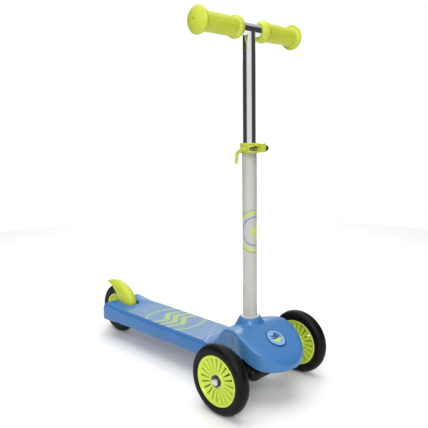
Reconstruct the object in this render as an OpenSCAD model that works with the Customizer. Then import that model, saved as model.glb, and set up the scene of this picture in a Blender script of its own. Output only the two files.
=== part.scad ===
// Three-wheeled lean-to-steer kick scooter for a small child.
// Millimetres, +Z up, -Y is the way it rides, the floor is Z = 0.
// The origin is the middle of the footprint; the stem's axis stands at Y = stem_y.

/* [Overall] */
// Height of the handlebar's centre line above the floor
bar_h = 635; // [560:1:720]
// Width over the ends of the two grips
bar_w = 257; // [220:1:310]
// Distance from the stem's axis forward to the tip of the nose
nose_reach = 102; // [98:1:116]
// Distance from the stem's axis back to the rear axle
rear_axle_reach = 406; // [340:1:490]

/* [Front wheels] */
// Diameter of a front wheel over its tyre
front_wheel_d = 120; // [100:1:144]
// Distance between the middles of the two front tyres
front_track = 219; // [205:1:263]
// How far the front axle lies ahead of the stem's axis
front_axle_ahead = 30; // [28:1:34]
// Radial depth of a front tyre's rubber
front_tyre_depth = 17; // [12:1:20]
// Width of a front tyre
front_tyre_w = 24; // [22:1:29]
// Number of slits in each face of a front rim
rim_slits = 20; // [12:1:24]

/* [Rear wheel] */
// Diameter of the rear wheel over its tyre
rear_wheel_d = 110; // [92:1:132]
// Radial depth of the rear tyre's rubber
rear_tyre_depth = 20; // [14:1:24]
// Width of the rear tyre
rear_tyre_w = 24; // [22:1:29]

/* [Bearings and axles] */
// Outer diameter of a wheel bearing
bearing_d = 22; // [20:1:26]
// Width of a wheel bearing
bearing_w = 7; // [5:1:8]
// Diameter of the three wheel axles and of the kingpin
axle_d = 8; // [6:0.5:9]
// Radial running clearance of every turning or sliding fit
run_gap = 0.05; // [0.02:0.01:0.09]

/* [Deck] */
// Height of the deck's top above the front axle
deck_rise = 15; // [12:1:20]
// Width of the deck
deck_w = 94; // [84:1:112]
// Height of the deck's side at the rear
deck_h = 32; // [28:1:40]
// How much shallower the deck's side is at its front end
deck_taper = 5; // [0:1:6]
// Thickness of the deck's moulded walls
deck_wall = 4; // [3:0.5:6]
// Thickness of the grip sheet on the deck
grip_sheet_t = 0.8; // [0.5:0.1:2]
// Width of the grip sheet
grip_sheet_w = 84; // [70:1:90]
// Width of the slot that the rear wheel and the brake stand in
slot_w = 34; // [32:1:44]

/* [Stem] */
// Outer diameter of the painted lower tube
outer_tube_d = 25.4; // [24:0.1:28]
// Outer diameter of the chromed handlebar tube
inner_tube_d = 22.2; // [20:0.1:22.6]
// Wall thickness of the chromed tube
inner_tube_wall = 1.5; // [1:0.1:2.5]
// Length of chromed tube that shows above the lower tube
tube_showing = 193; // [120:1:200]
// Length of chromed tube inside the lower tube
tube_hidden = 105; // [60:1:120]
// Height of the quick-release clamp collar
clamp_h = 14; // [12:1:20]

/* [Grips] */
// Diameter of a grip's body
grip_d = 31.5; // [28:0.5:36]
// Diameter of the rounded end cap of a grip
grip_end_d = 45; // [38:1:56]
// Diameter of a grip's inner flange
grip_flange_d = 38; // [33:1:44]
// Distance between the inner ends of the two grips
grip_gap = 48; // [40:1:70]

/* [Steering] */
// Angle of the kingpin from the vertical, its top end forward
kingpin_rake = 45; // [42:1:48]
// Outer diameter of a rubber steering cushion
cushion_d = 26; // [22:1:26]
// Height of a rubber steering cushion
cushion_h = 10; // [8:1:10]

/* [Brake] */
// Width of the brake fender
fender_w = 30; // [28:1:31]
// Thickness of the brake fender's top
fender_t = 4; // [3:0.5:5]
// Diameter of the brake's pivot pin
brake_pin_d = 5; // [4:0.5:6]

/* [Hidden] */
$fn = 64;

// Places
front_r = front_wheel_d / 2;
rear_r = rear_wheel_d / 2;
rear_reach = rear_axle_reach + rear_r;
stem_y = (nose_reach - rear_reach) / 2;
front_axle_z = front_r;
rear_axle_z = rear_r;
deck_top = front_axle_z + deck_rise;
deck_bottom = deck_top - deck_h;
wheel_x = front_track / 2;

// Stem and head
tube_run_gap = 0.1;
tube_bore_d = inner_tube_d + 2 * tube_run_gap;
clamp_top = bar_h - tube_showing;
clamp_mid = clamp_top - clamp_h / 2;
socket_wall = 2.9;
socket_d = outer_tube_d + 2 * socket_wall;
socket_bottom = front_axle_z + 18;
socket_top = front_axle_z + 60;
tube_bottom = socket_bottom + 4;
hood_top = front_axle_z + 72;
ring_top = hood_top + 1.5;
stem_bolt_d = 6;
stem_bolt_z = front_axle_z + 46;
screw_d = 4;
screw_head_d = 8;
screw_head_h = 3;

// Deck
deck_front = 6;
arm_reach = 11;
base_t = 6;
base_w = 60;
base_l = 52;
base_screws = [[-22, 18], [22, 18], [-22, 50], [22, 50]];

// Steering truck, measured along the kingpin from the axle
hub_r = 16;
hub_half = 10;
saddle_t = 8;
saddle_r = 15;
washer_t = 1.5;
nut_t = 6.5;
spine_near = 18;
spine_t = 9;
spine_w = 28;
beam_r = 14;
beam_end_r = 9;
belly_half = 58;
belly_r = 13;

// Wheel hubs, measured from the wheel's middle along its axle
hub_barrel = 18;
hub_wall = 4;
slit_w = 2.8;
barrel_half = hub_barrel / 2;
inner_ring_d = axle_d + 4;
bolt_head_d = 13.5;
bolt_head_h = 5;
beam_end = wheel_x - barrel_half - 4;
insert_depth = 26;
insert_d = 13;

// Clamp
collar_wall = 3.4;
collar_r = outer_tube_d / 2 + collar_wall;
collar_gap = 4;
clamp_bolt_d = 5;
clamp_bolt_y = -(outer_tube_d / 2 + 7.3);
ear_x = 15;
ear_half_y = 5.5;
cam_r = 6;
cam_x = ear_x + cam_r;
lever_tail = 24;
lever_pin_d = 4;
eye_wall = 0.8;

// Brake
fender_r = rear_r + 13;
fender_shift = 3;
skirt_t = 2.2;
fender_dome = 9;
pin_y = rear_axle_reach - rear_r - 7;
pin_z = deck_top - 6;
knuckle_r = 5.5;
spring_wire = 1.4;
spring_coils = 5;

module at_stem() translate([0, stem_y, 0]) children();

// Stands a drawing made in Y and Z up and gives it the width w, centred on X = 0
module side_plate(w) translate([-w / 2, 0, 0]) rotate([90, 0, 90]) linear_extrude(w) children();

// A bar along X from x0 to x1
module bar_x(d, x0, x1, y = 0, z = 0, fn = 48)
    translate([min(x0, x1), y, z]) rotate([0, 90, 0]) cylinder(d = d, h = abs(x1 - x0), $fn = fn);

// A turned profile (radius, distance along the axis) round the X axis
module turned_x(fn = 96) rotate([0, 90, 0]) rotate_extrude($fn = fn) children();

module rounded_box_2d(w, h, r) {
    translate([r, 0]) square([w - 2 * r, h]);
    translate([0, r]) square([w, h - 2 * r]);
    for (x = [r, w - r], y = [r, h - r]) translate([x, y]) circle(r, $fn = 48);
}

// Kingpin frame: Z runs up the kingpin from the axle, Y points up and back
module on_kingpin() at_stem()
    translate([0, -front_axle_ahead, front_axle_z]) rotate([kingpin_rake, 0, 0]) children();

function arc(cx, cy, r, a0, a1, n = 10) =
    [for (i = [0 : n]) let (a = a0 + (a1 - a0) * i / n) [cx + r * cos(a), cy + r * sin(a)]];

// ---------------------------------------------------------------- deck

arm_end = rear_axle_reach + arm_reach;
arm_bottom = rear_axle_z - 15;
arm_top = max(deck_top, rear_axle_z + 15) + 5;

// Platform seen from the side
module platform_side() polygon([
    [deck_front, deck_top], [deck_front, deck_bottom + deck_taper],
    [rear_axle_reach - 40, deck_bottom], [rear_axle_reach - 40, deck_top]]);

// The two arms beside the rear wheel, seen from the side
module arm_side() polygon(concat(
    [[rear_axle_reach - 70, deck_top], [rear_axle_reach - 70, deck_bottom],
     [rear_axle_reach - 34, min(deck_bottom, arm_bottom + 1)], [rear_axle_reach, arm_bottom]],
    arc(arm_end - 9, arm_bottom + 9, 9, -60, 20, 6),
    [[arm_end - 3, rear_axle_z + 4]],
    arc(arm_end - 21, arm_top - 14, 14, 30, 90, 6),
    [[rear_axle_reach - 34, deck_top + 3], [rear_axle_reach - 52, deck_top]]));

// Long rounded bar that trims the deck's edges
module deck_section(top, low) translate([0, arm_end + 5, 0]) rotate([90, 0, 0])
    linear_extrude(arm_end + 40) translate([-deck_w / 2, low]) rounded_box_2d(deck_w, top - low, 8);

// Pockets between the ribs under the platform
module rib_pockets() {
    first = deck_front + base_l + 8;
    last = pin_y - 22;
    count = floor((last - first) / 34);
    pitch = (last - first) / count;
    pocket_w = (deck_w - 3 * deck_wall) / 2;
    for (i = [0 : count - 1], s = [-1, 1])
        translate([s * (deck_wall / 2 + pocket_w / 2) - pocket_w / 2, first + i * pitch, 0])
            cube([pocket_w, pitch - deck_wall, deck_top - deck_wall - 1]);
}

module screw_hole(x, y, z, depth) translate([x, y, z]) cylinder(d = screw_d, h = depth, $fn = 24);

cap_half_y = 15;
cap_x0 = slot_w / 2 + 4;
cap_x1 = deck_w / 2 - 5;
cap_t = 4;
cap_screw_y = rear_axle_reach - 19;
cap_screw_x = [cap_x0 + 5, cap_x1 - 5];
cover_screw_y = 36;
cover_screw_x = deck_w / 2 - 9;

module deck() color([0.18, 0.45, 0.78]) at_stem() difference() {
    union() {
        intersection() {
            side_plate(deck_w) platform_side();
            deck_section(deck_top, deck_bottom - 4);
        }
        intersection() {
            side_plate(deck_w) arm_side();
            deck_section(arm_top, min(deck_bottom, arm_bottom) - 3);
        }
    }
    rib_pockets();
    // wheel and brake slot, open to the rear
    translate([-slot_w / 2, pin_y - knuckle_r - 3, 0]) cube([slot_w, 200, 200]);
    bar_x(brake_pin_d, -slot_w / 2 - 8, slot_w / 2 + 8, pin_y, pin_z);
    for (s = [-1, 1]) {
        // seat for the rear axle, open from below, with the recess for its cap
        bar_x(axle_d, s * (slot_w / 2 - 1), s * (cap_x1 - 2), rear_axle_reach, rear_axle_z);
        translate([s > 0 ? slot_w / 2 - 1 : -cap_x1 + 2, rear_axle_reach - axle_d / 2, 0])
            cube([cap_x1 - 1 - slot_w / 2, axle_d, rear_axle_z]);
        translate([s > 0 ? cap_x0 : -cap_x1, cap_screw_y - 6, 0])
            cube([cap_x1 - cap_x0, 32, arm_bottom + cap_t + 1]);
        for (x = cap_screw_x) screw_hole(s * x, cap_screw_y, 0, arm_bottom + cap_t + 14);
        // screws that hold the head cover from below
        screw_hole(s * cover_screw_x, cover_screw_y, 0, deck_top + 1);
        translate([s * cover_screw_x, cover_screw_y, 0])
            cylinder(d = screw_head_d + 1, h = deck_top - 6, $fn = 32);
    }
    for (p = base_screws) screw_hole(p[0], p[1], deck_top - 14, 20);
}

sheet_front_r = 92;
sheet_end = pin_y - knuckle_r - 14;

module grip_sheet() color([0.49, 0.63, 0.82]) at_stem() translate([0, 0, deck_top]) difference() {
    linear_extrude(grip_sheet_t) translate([-grip_sheet_w / 2, 60])
        rounded_box_2d(grip_sheet_w, sheet_end - 60, 5);
    translate([0, 0, -1]) cylinder(r = sheet_front_r, h = 5, $fn = 160);
}

// ---------------------------------------------------------------- head

module head_bracket() color([0.13, 0.13, 0.14]) difference() {
    union() {
        at_stem() {
            translate([0, 0, socket_bottom]) cylinder(d = socket_d, h = socket_top - socket_bottom);
            translate([-base_w / 2, deck_front, deck_top]) cube([base_w, base_l, base_t]);
            translate([-base_w / 2, deck_front - 8, deck_top - 14]) cube([base_w, 8, 14 + base_t]);
            // ribs from the socket to the base
            for (x = [-12, 12]) translate([x, 0, 0]) side_plate(4) polygon([
                [8, deck_top], [50, deck_top], [50, deck_top + base_t], [12, socket_top - 14],
                [8, socket_top - 14]]);
        }
        on_kingpin() {
            translate([-spine_w / 2, spine_near, -12]) cube([spine_w, spine_t, 12 + hub_half + cushion_h + saddle_t]);
            translate([0, 0, hub_half + cushion_h]) cylinder(r = saddle_r, h = saddle_t);
            translate([-spine_w / 2, 0, hub_half + cushion_h]) cube([spine_w, spine_near + 1, saddle_t]);
        }
    }
    at_stem() {
        translate([0, 0, tube_bottom]) cylinder(d = outer_tube_d, h = 100);
        bar_x(stem_bolt_d, -30, 30, 0, stem_bolt_z);
        for (p = base_screws) screw_hole(p[0], p[1], deck_top - 1, 20);
    }
    on_kingpin() cylinder(d = axle_d, h = 60);
}

module bracket_screws() color([0.7, 0.71, 0.73]) at_stem()
    for (p = base_screws) translate([p[0], p[1], deck_top - 12]) {
        cylinder(d = screw_d, h = 12 + base_t, $fn = 24);
        translate([0, 0, 12 + base_t]) cylinder(d = screw_head_d, h = screw_head_h, $fn = 32);
    }

cover_wall = 3;
boss_h = 20.5;
cover_half_w = deck_w / 2 + 3;
// The cover's rounded corners as half width, place along Y, height above the axle, radius.
// The first rows shape its top, the last three carry its wall down.
shoulder_knob = [49, -44, 39, 15];
nose_knob = [27, 15 - nose_reach, 12, 12];
front_knob = [0, 12 - nose_reach, 11, 12];
function cover_knobs(drop) = [
    [44, -14, 46, 16], shoulder_knob, [38, 16, 40, 14], nose_knob,
    front_knob, [27, 15 - nose_reach, -2 - drop, 12],
    [0, 12 - nose_reach, -2 - drop, 12], [49, -44, 14 - drop, 15]];

module cover_dome(inset, drop) hull() for (k = cover_knobs(drop), s = [-1, 1])
    translate([s * k[0], k[1], front_axle_z + k[2]]) sphere(k[3] - inset, $fn = 20);

// Radius and height above the axle of the skirt that sweeps down to the deck
cover_sweep = [[19, 72], [23, 68], [30, 60], [40, 48], [50, 40], [62, 32], [75, 24.5], [90, 15]];

module cover_skirt(inset) intersection() {
    rotate_extrude($fn = 96) polygon(concat([[0, deck_top - 30], [0, hood_top - inset]],
        [for (p = cover_sweep) [p[0] - inset, front_axle_z + p[1] - inset]],
        [[90 - inset, deck_top - 30]]));
    translate([-cover_half_w + inset, -20, 0]) cube([2 * (cover_half_w - inset), 130, 300]);
}

// What is cut away below the cover's lower edge, seen from the side
module cover_cut() side_plate(200) polygon([
    [-200, front_axle_z + 2], [-74, front_axle_z + 2], [-52, front_axle_z + 25], [deck_front - 3, front_axle_z + 25],
    [deck_front + 6, deck_top], [200, deck_top], [200, 0], [-200, 0]]);

module head_cover() color([0.24, 0.52, 0.83]) at_stem() difference() {
    union() {
        difference() {
            union() {
                cover_dome(0, 0);
                cover_skirt(0);
            }
            cover_dome(cover_wall, 30);
            cover_skirt(cover_wall);
            cover_cut();
        }
        // bosses for the screws that come up through the deck
        for (s = [-1, 1]) translate([s * cover_screw_x, cover_screw_y, deck_top])
            cylinder(r = 5, h = boss_h, $fn = 32);
    }
    translate([0, 0, socket_bottom]) cylinder(d = socket_d + 1, h = 100);
    for (s = [-1, 1]) screw_hole(s * cover_screw_x, cover_screw_y, deck_top - 1, 10);
}

module cover_screws() color([0.7, 0.71, 0.73]) at_stem() for (s = [-1, 1])
    translate([s * cover_screw_x, cover_screw_y, deck_top - 6]) {
        cylinder(d = screw_d, h = 14, $fn = 24);
        translate([0, 0, -screw_head_h]) cylinder(d = screw_head_d, h = screw_head_h, $fn = 32);
    }

// The badge lies on the flat between the shoulder knobs and the front knob
badge_d = 39;
badge_t = 1.6;
badge_y = -60;
knob_gap = [shoulder_knob[1] - front_knob[1], shoulder_knob[2] - front_knob[2]];
badge_tilt = atan2(knob_gap[1], knob_gap[0]) + asin((shoulder_knob[3] - front_knob[3]) / norm(knob_gap));
badge_z = front_axle_z + shoulder_knob[2] + shoulder_knob[3] / cos(badge_tilt)
    + (badge_y - shoulder_knob[1]) * tan(badge_tilt);

module badge() color([0.2, 0.35, 0.62]) at_stem() translate([0, badge_y, badge_z])
    rotate([badge_tilt, 0, 0]) cylinder(d = badge_d, h = badge_t, $fn = 96);

module stem_ring() color([0.82, 0.83, 0.8]) at_stem() translate([0, 0, socket_top])
    difference() {
        cylinder(d = socket_d + 0.6, h = ring_top - socket_top);
        translate([0, 0, -1]) cylinder(d = outer_tube_d, h = 40);
    }

// ---------------------------------------------------------------- stem and clamp

tube_slot_w = 3;
tube_slot_l = 38;

module outer_tube() color([0.78, 0.78, 0.75]) at_stem() difference() {
    translate([0, 0, tube_bottom]) cylinder(d = outer_tube_d, h = clamp_top - tube_bottom - 1);
    translate([0, 0, tube_bottom - 1]) cylinder(d = tube_bore_d, h = clamp_top);
    translate([-tube_slot_w / 2, -20, clamp_top - tube_slot_l]) cube([tube_slot_w, 20, tube_slot_l + 10]);
    bar_x(stem_bolt_d, -30, 30, 0, stem_bolt_z);
}

module stem_bolt() color([0.72, 0.73, 0.75]) at_stem() {
    bar_x(stem_bolt_d, -socket_d / 2 - 6, socket_d / 2, 0, stem_bolt_z);
    bar_x(10, socket_d / 2, socket_d / 2 + 4, 0, stem_bolt_z);
}

module stem_nut() color([0.72, 0.73, 0.75]) at_stem() difference() {
    bar_x(11.5, -socket_d / 2 - 5, -socket_d / 2, 0, stem_bolt_z, fn = 6);
    bar_x(stem_bolt_d, -40, 0, 0, stem_bolt_z);
}

module clamp_collar() color([0.71, 0.77, 0.22]) at_stem() difference() {
    translate([0, 0, clamp_top - clamp_h]) {
        cylinder(r = collar_r, h = clamp_h);
        // ears on both sides of the gap
        translate([-ear_x, clamp_bolt_y - ear_half_y, 1])
            cube([2 * ear_x, ear_half_y + 4, clamp_h - 2]);
        translate([-ear_x + 3, clamp_bolt_y, 1]) cube([2 * ear_x - 6, -clamp_bolt_y, clamp_h - 2]);
    }
    translate([0, 0, clamp_top - clamp_h - 1]) cylinder(d = outer_tube_d, h = clamp_h);
    translate([0, 0, clamp_top - clamp_h - 1]) cylinder(d = tube_bore_d + 0.4, h = clamp_h + 5);
    translate([-collar_gap / 2, -60, clamp_top - clamp_h - 1]) cube([collar_gap, 60, clamp_h + 2]);
    bar_x(clamp_bolt_d, -40, 40, clamp_bolt_y, clamp_mid);
}

module clamp_bolt() color([0.75, 0.76, 0.78]) at_stem() difference() {
    bar_x(clamp_bolt_d, -cam_x - lever_pin_d / 2 - eye_wall, ear_x + 9, clamp_bolt_y, clamp_mid);
    translate([-cam_x, clamp_bolt_y, clamp_mid - 10]) cylinder(d = lever_pin_d, h = 20);
}

module clamp_nut() color([0.15, 0.15, 0.16]) at_stem() difference() {
    bar_x(10.5, ear_x + 3, ear_x + 10, clamp_bolt_y, clamp_mid);
    bar_x(clamp_bolt_d, 0, ear_x + 9, clamp_bolt_y, clamp_mid);
}

module clamp_washer() color([0.2, 0.2, 0.21]) at_stem() difference() {
    bar_x(9, ear_x, ear_x + 3, clamp_bolt_y, clamp_mid);
    bar_x(clamp_bolt_d, 0, ear_x + 9, clamp_bolt_y, clamp_mid);
}

lever_h = 11;
lever_swing = 120;
lever_slot = clamp_bolt_d + 1;

module clamp_lever() color([0.71, 0.77, 0.22]) at_stem() difference() {
    union() {
        translate([-cam_x, clamp_bolt_y, clamp_mid - lever_h / 2]) cylinder(r = cam_r, h = lever_h);
        hull() {
            translate([-cam_x - 2, clamp_bolt_y, clamp_mid]) sphere(3.6, $fn = 32);
            translate([-cam_x - 1.5, -2, clamp_mid - 1]) sphere(3, $fn = 32);
        }
        hull() {
            translate([-cam_x - 1.5, -2, clamp_mid - 1]) sphere(3, $fn = 32);
            translate([-cam_x, 10, clamp_mid - 8]) sphere(2.8, $fn = 32);
        }
        hull() {
            translate([-cam_x, 10, clamp_mid - 8]) sphere(2.8, $fn = 32);
            translate([-cam_x, 12, clamp_mid - lever_tail]) sphere(2.4, $fn = 32);
        }
    }
    // slot that the bolt's end stands in, as wide as the lever swings
    translate([-cam_x, clamp_bolt_y, clamp_mid - lever_slot / 2]) linear_extrude(lever_slot) {
        circle(norm([lever_pin_d / 2 + eye_wall, clamp_bolt_d / 2]) + 0.4, $fn = 48);
        polygon(concat([[0, 0]], arc(0, 0, 2 * cam_r, -lever_swing, 0, 12)));
        for (a = [-lever_swing, 0]) rotate(a) translate([0, -lever_slot / 2]) square([2 * cam_r, lever_slot]);
    }
    translate([-cam_x, clamp_bolt_y, clamp_mid - 10]) cylinder(d = lever_pin_d + 2 * run_gap, h = 20, $fn = 48);
}

module lever_pin() color([0.75, 0.76, 0.78]) at_stem()
    translate([-cam_x, clamp_bolt_y, clamp_mid - lever_h / 2]) cylinder(d = lever_pin_d, h = lever_h, $fn = 48);

// ---------------------------------------------------------------- handlebar

grip_in = grip_gap / 2;
grip_out = bar_w / 2;
end_wall = 6;
cap_rim = 11;
bar_half = grip_out - end_wall;

module t_bar() color([0.8, 0.81, 0.83]) at_stem() difference() {
    union() {
        translate([0, 0, clamp_top - tube_hidden]) cylinder(d = inner_tube_d, h = tube_showing + tube_hidden);
        bar_x(inner_tube_d, -bar_half, bar_half, 0, bar_h, fn = 64);
    }
    translate([0, 0, clamp_top - tube_hidden - 1])
        cylinder(d = inner_tube_d - 2 * inner_tube_wall, h = tube_showing + tube_hidden);
    bar_x(inner_tube_d - 2 * inner_tube_wall, -bar_half - 1, bar_half + 1, 0, bar_h, fn = 64);
}

module tube_bush() color([0.12, 0.12, 0.13]) at_stem() translate([0, 0, clamp_top - tube_hidden]) {
    translate([0, 0, -6]) cylinder(d = inner_tube_d + 0.1, h = 6);
    cylinder(d = inner_tube_d - 2 * inner_tube_wall, h = 14);
}

// One grip, its inner end at z = 0 and its rounded end outwards
module grip_profile() {
    len = grip_out - grip_in;
    tube_r = inner_tube_d / 2;
    body_r = grip_d / 2;
    flange_r = grip_flange_d / 2;
    end_r = grip_end_d / 2;
    polygon(concat(
        [[tube_r, 0], [tube_r + 1.6, 0], [tube_r + 2.4, 0.8], [flange_r, 8], [flange_r, 12.5],
         [flange_r - 0.8, 13.6], [body_r, 15], [body_r, len - cap_rim - 4], [body_r + 2.5, len - cap_rim - 2]],
        [for (a = [-30 : 10 : 90]) [end_r - 3 + 3 * cos(a), len - cap_rim + 1.5 + 3 * sin(a)]],
        [for (i = [1 : 7]) let (r = (end_r - 3) * (1 - i / 8))
            [r, len - (cap_rim - 4.5) * pow(r / (end_r - 3), 2)]],
        [[1.6, len], [1.6, len - end_wall], [tube_r, len - end_wall]]));
}

module grip(side) color([0.74, 0.8, 0.24]) at_stem() translate([0, 0, bar_h])
    rotate([0, side * 90, 0]) translate([0, 0, grip_in]) rotate_extrude($fn = 96) grip_profile();

// ---------------------------------------------------------------- steering truck

module truck() color([0.09, 0.09, 0.1]) difference() {
    union() {
        at_stem() translate([0, -front_axle_ahead, front_axle_z]) {
            bar_x(2 * beam_r, -wheel_x + 48, wheel_x - 48);
            for (s = [-1, 1]) translate([s * (wheel_x - 48), 0, 0]) rotate([0, s * 90, 0]) {
                cylinder(r1 = beam_r, r2 = beam_end_r, h = 18);
                cylinder(r = beam_end_r, h = beam_end - wheel_x + 48);
            }
            hull() for (s = [-1, 1], y = [0, -16]) translate([s * (belly_half - belly_r), y, y * 0.5])
                sphere(belly_r, $fn = 32);
        }
        on_kingpin() translate([0, 0, -hub_half]) cylinder(r = hub_r, h = 2 * hub_half);
    }
    on_kingpin() {
        translate([0, 0, hub_half]) cylinder(r = hub_r + 1, h = 60);
        translate([0, 0, -hub_half - 60]) cylinder(r = hub_r, h = 60);
        translate([0, 0, -40]) cylinder(d = axle_d + 2 * run_gap, h = 80, $fn = 64);
    }
    at_stem() for (s = [-1, 1])
        bar_x(insert_d, s * (beam_end - insert_depth), s * (beam_end + 1), -front_axle_ahead, front_axle_z);
}

module axle_inserts() color([0.75, 0.6, 0.3]) at_stem() for (s = [-1, 1]) difference() {
    bar_x(insert_d, s * (beam_end - insert_depth), s * beam_end, -front_axle_ahead, front_axle_z);
    bar_x(axle_d, s * (beam_end - insert_depth + 2), s * (beam_end + 1), -front_axle_ahead, front_axle_z);
}

stack_top = hub_half + cushion_h + saddle_t;
stack_low = -hub_half - cushion_h - washer_t;

module kingpin() color([0.7, 0.71, 0.73]) on_kingpin() {
    translate([0, 0, stack_low - nut_t - 1.5]) cylinder(d = axle_d, h = stack_top - stack_low + nut_t + 1.5, $fn = 64);
    translate([0, 0, stack_top]) cylinder(d = 13, h = 5, $fn = 6);
}

module kingpin_nut() color([0.7, 0.71, 0.73]) on_kingpin() difference() {
    translate([0, 0, stack_low - nut_t]) cylinder(d = 14.4, h = nut_t, $fn = 6);
    translate([0, 0, stack_low - nut_t - 1]) cylinder(d = axle_d, h = nut_t + 2, $fn = 64);
}

module ring_plate(od, id, h) difference() {
    cylinder(d = od, h = h);
    translate([0, 0, -1]) cylinder(d = id, h = h + 2);
}

module kingpin_washers() color([0.7, 0.71, 0.73]) on_kingpin()
    translate([0, 0, stack_low]) ring_plate(22, axle_d, washer_t);

// Rubber cushion, waisted like a barrel between its two flats
module cushion() rotate_extrude($fn = 64) polygon([
    [axle_d / 2, 0], [cushion_d / 2 - 2, 0], [cushion_d / 2, cushion_h * 0.3],
    [cushion_d / 2, cushion_h * 0.7], [cushion_d / 2 - 2, cushion_h], [axle_d / 2, cushion_h]]);

module cushion_upper() color([0.85, 0.85, 0.82]) on_kingpin() translate([0, 0, hub_half]) cushion();
module cushion_lower() color([0.85, 0.85, 0.82]) on_kingpin() translate([0, 0, -hub_half - cushion_h]) cushion();

// ---------------------------------------------------------------- wheels

// Everything on a wheel is made round X = 0 and moved to its place
module at_wheel(x, y, z) at_stem() translate([x, y, z]) children();
module at_front(side) at_wheel(side * wheel_x, -front_axle_ahead, front_axle_z) children();
module at_rear() at_wheel(0, rear_axle_reach, rear_axle_z) children();

module tyre(r, depth, w) color([0.1, 0.1, 0.11]) turned_x(128) polygon(concat(
    [[r - depth, -w / 2 + 1.2]],
    [for (a = [-80 : 10 : 80]) [r - 9 + 9 * cos(a), (w / 2) * sin(a)]],
    [[r - depth, w / 2 - 1.2]]));

// A rim's half profile (radius, distance from the middle): hub lip, dished vanes and edge ring
function rim_face(r, w, hub_r) = [
    [bearing_d / 2, barrel_half], [bearing_d / 2 + 0.8, barrel_half], [bearing_d / 2 + 0.8, barrel_half + 1.5],
    [hub_r - 0.6, barrel_half + 1.5], [hub_r, barrel_half + 1], [hub_r + 0.8, barrel_half - 0.8],
    [r - 5, w / 2 - 2.6], [r - 3.6, w / 2 - 0.8], [r - 0.8, w / 2 - 0.8], [r, w / 2 - 1.2]];

module rim(r, w, slits) color([0.8, 0.9, 0.3]) {
    hub_r = bearing_d / 2 + hub_wall;
    face = rim_face(r, w, hub_r);
    slit_in = hub_r + 2.5;
    slit_out = r - 6;
    difference() {
        turned_x() polygon(concat(
            [for (p = face) [p[0], -p[1]]], [for (i = [len(face) - 1 : -1 : 0]) face[i]]));
        // through slits, wider towards the edge
        for (i = [0 : slits - 1]) rotate([i * 360 / slits, 0, 0]) translate([-w, 0, 0])
            rotate([90, 0, 90]) linear_extrude(2 * w) polygon([
                [slit_in, -0.7], [slit_out, -slit_w / 2], [slit_out, slit_w / 2], [slit_in, 0.7]]);
    }
    // stop between the two bearings
    turned_x() translate([bearing_d / 2 - 1.5, -(barrel_half - bearing_w)])
        square([1.6, 2 * (barrel_half - bearing_w)]);
}

module bearings() color([0.75, 0.76, 0.78]) for (s = [-1, 1])
    translate([s > 0 ? barrel_half - bearing_w : -barrel_half, 0, 0]) rotate([0, 90, 0])
        ring_plate(bearing_d, axle_d + 2 * run_gap, bearing_w);

module spacer() color([0.7, 0.71, 0.73]) rotate([0, 90, 0]) translate([0, 0, -(barrel_half - bearing_w)])
    ring_plate(inner_ring_d, axle_d + 2 * run_gap, 2 * (barrel_half - bearing_w));

// Shoulder bolt of a front wheel; side is +1 on the child's left
module axle_bolt(side) color([0.75, 0.76, 0.78]) at_front(side) {
    bar_x(axle_d, side * -(barrel_half + 4 + insert_depth - 2), side * (barrel_half + washer_t), fn = 64);
    bar_x(bolt_head_d, side * (barrel_half + washer_t), side * (barrel_half + washer_t + bolt_head_h - 2));
    translate([side * (barrel_half + washer_t + bolt_head_h - 2), 0, 0]) rotate([0, side * 90, 0])
        cylinder(d1 = bolt_head_d, d2 = bolt_head_d - 5, h = 2, $fn = 48);
}

module axle_washers(side) color([0.75, 0.76, 0.78]) at_front(side) {
    translate([side > 0 ? barrel_half : -barrel_half - washer_t, 0, 0]) rotate([0, 90, 0])
        ring_plate(20, axle_d, washer_t);
    translate([side > 0 ? -barrel_half - 4 : barrel_half, 0, 0]) rotate([0, 90, 0])
        ring_plate(inner_ring_d, axle_d, 4);
}

// ---------------------------------------------------------------- rear axle

module rear_axle() color([0.75, 0.76, 0.78]) at_rear() bar_x(axle_d, -cap_x1 + 2, cap_x1 - 2, fn = 64);

module rear_washers() color([0.75, 0.76, 0.78]) at_rear() for (s = [-1, 1])
    translate([s > 0 ? barrel_half : -slot_w / 2, 0, 0]) rotate([0, 90, 0])
        ring_plate(inner_ring_d, axle_d, slot_w / 2 - barrel_half);

module rear_caps() color([0.16, 0.4, 0.7]) at_stem() for (s = [-1, 1]) difference() {
    union() {
        translate([s > 0 ? cap_x0 : -cap_x1, cap_screw_y - 6, arm_bottom + 1])
            cube([cap_x1 - cap_x0, 30, cap_t]);
        translate([s > 0 ? cap_x0 : -cap_x1 + 2, rear_axle_reach - axle_d / 2, arm_bottom + cap_t])
            cube([cap_x1 - cap_x0 - 2, axle_d, rear_axle_z - arm_bottom - cap_t]);
    }
    bar_x(axle_d, s * (cap_x0 - 1), s * (cap_x1 + 1), rear_axle_reach, rear_axle_z);
    for (x = cap_screw_x) screw_hole(s * x, cap_screw_y, arm_bottom, 20);
}

module rear_cap_screws() color([0.7, 0.71, 0.73]) at_stem() for (s = [-1, 1], x = cap_screw_x)
    translate([s * x, cap_screw_y, arm_bottom + 1]) {
        cylinder(d = screw_d, h = 14, $fn = 24);
        translate([0, 0, -1.6]) cylinder(d1 = 5, d2 = 7, h = 1.6, $fn = 32);
    }

// ---------------------------------------------------------------- brake

// Turns things about the fender's own centre, a little behind and below the axle
module at_fender() at_stem() translate([0, rear_axle_reach + fender_shift, rear_axle_z - fender_shift]) children();

// Domed strip of the fender between two radii, over the angles a0 to a1 (0 is back, 90 is up)
module fender_ring(r0, r1, w, dome, a0, a1) rotate([90, 0, 90])
    rotate([0, 0, a0]) rotate_extrude(angle = a1 - a0, $fn = 128) polygon(concat(
        [[r0, -w / 2]],
        [for (a = [-90 : 15 : 90]) [r1 - dome + dome * cos(a), w / 2 * sin(a)]],
        [[r0, w / 2]]));

tail_angle = 55;
foot_angle = 158;

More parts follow.
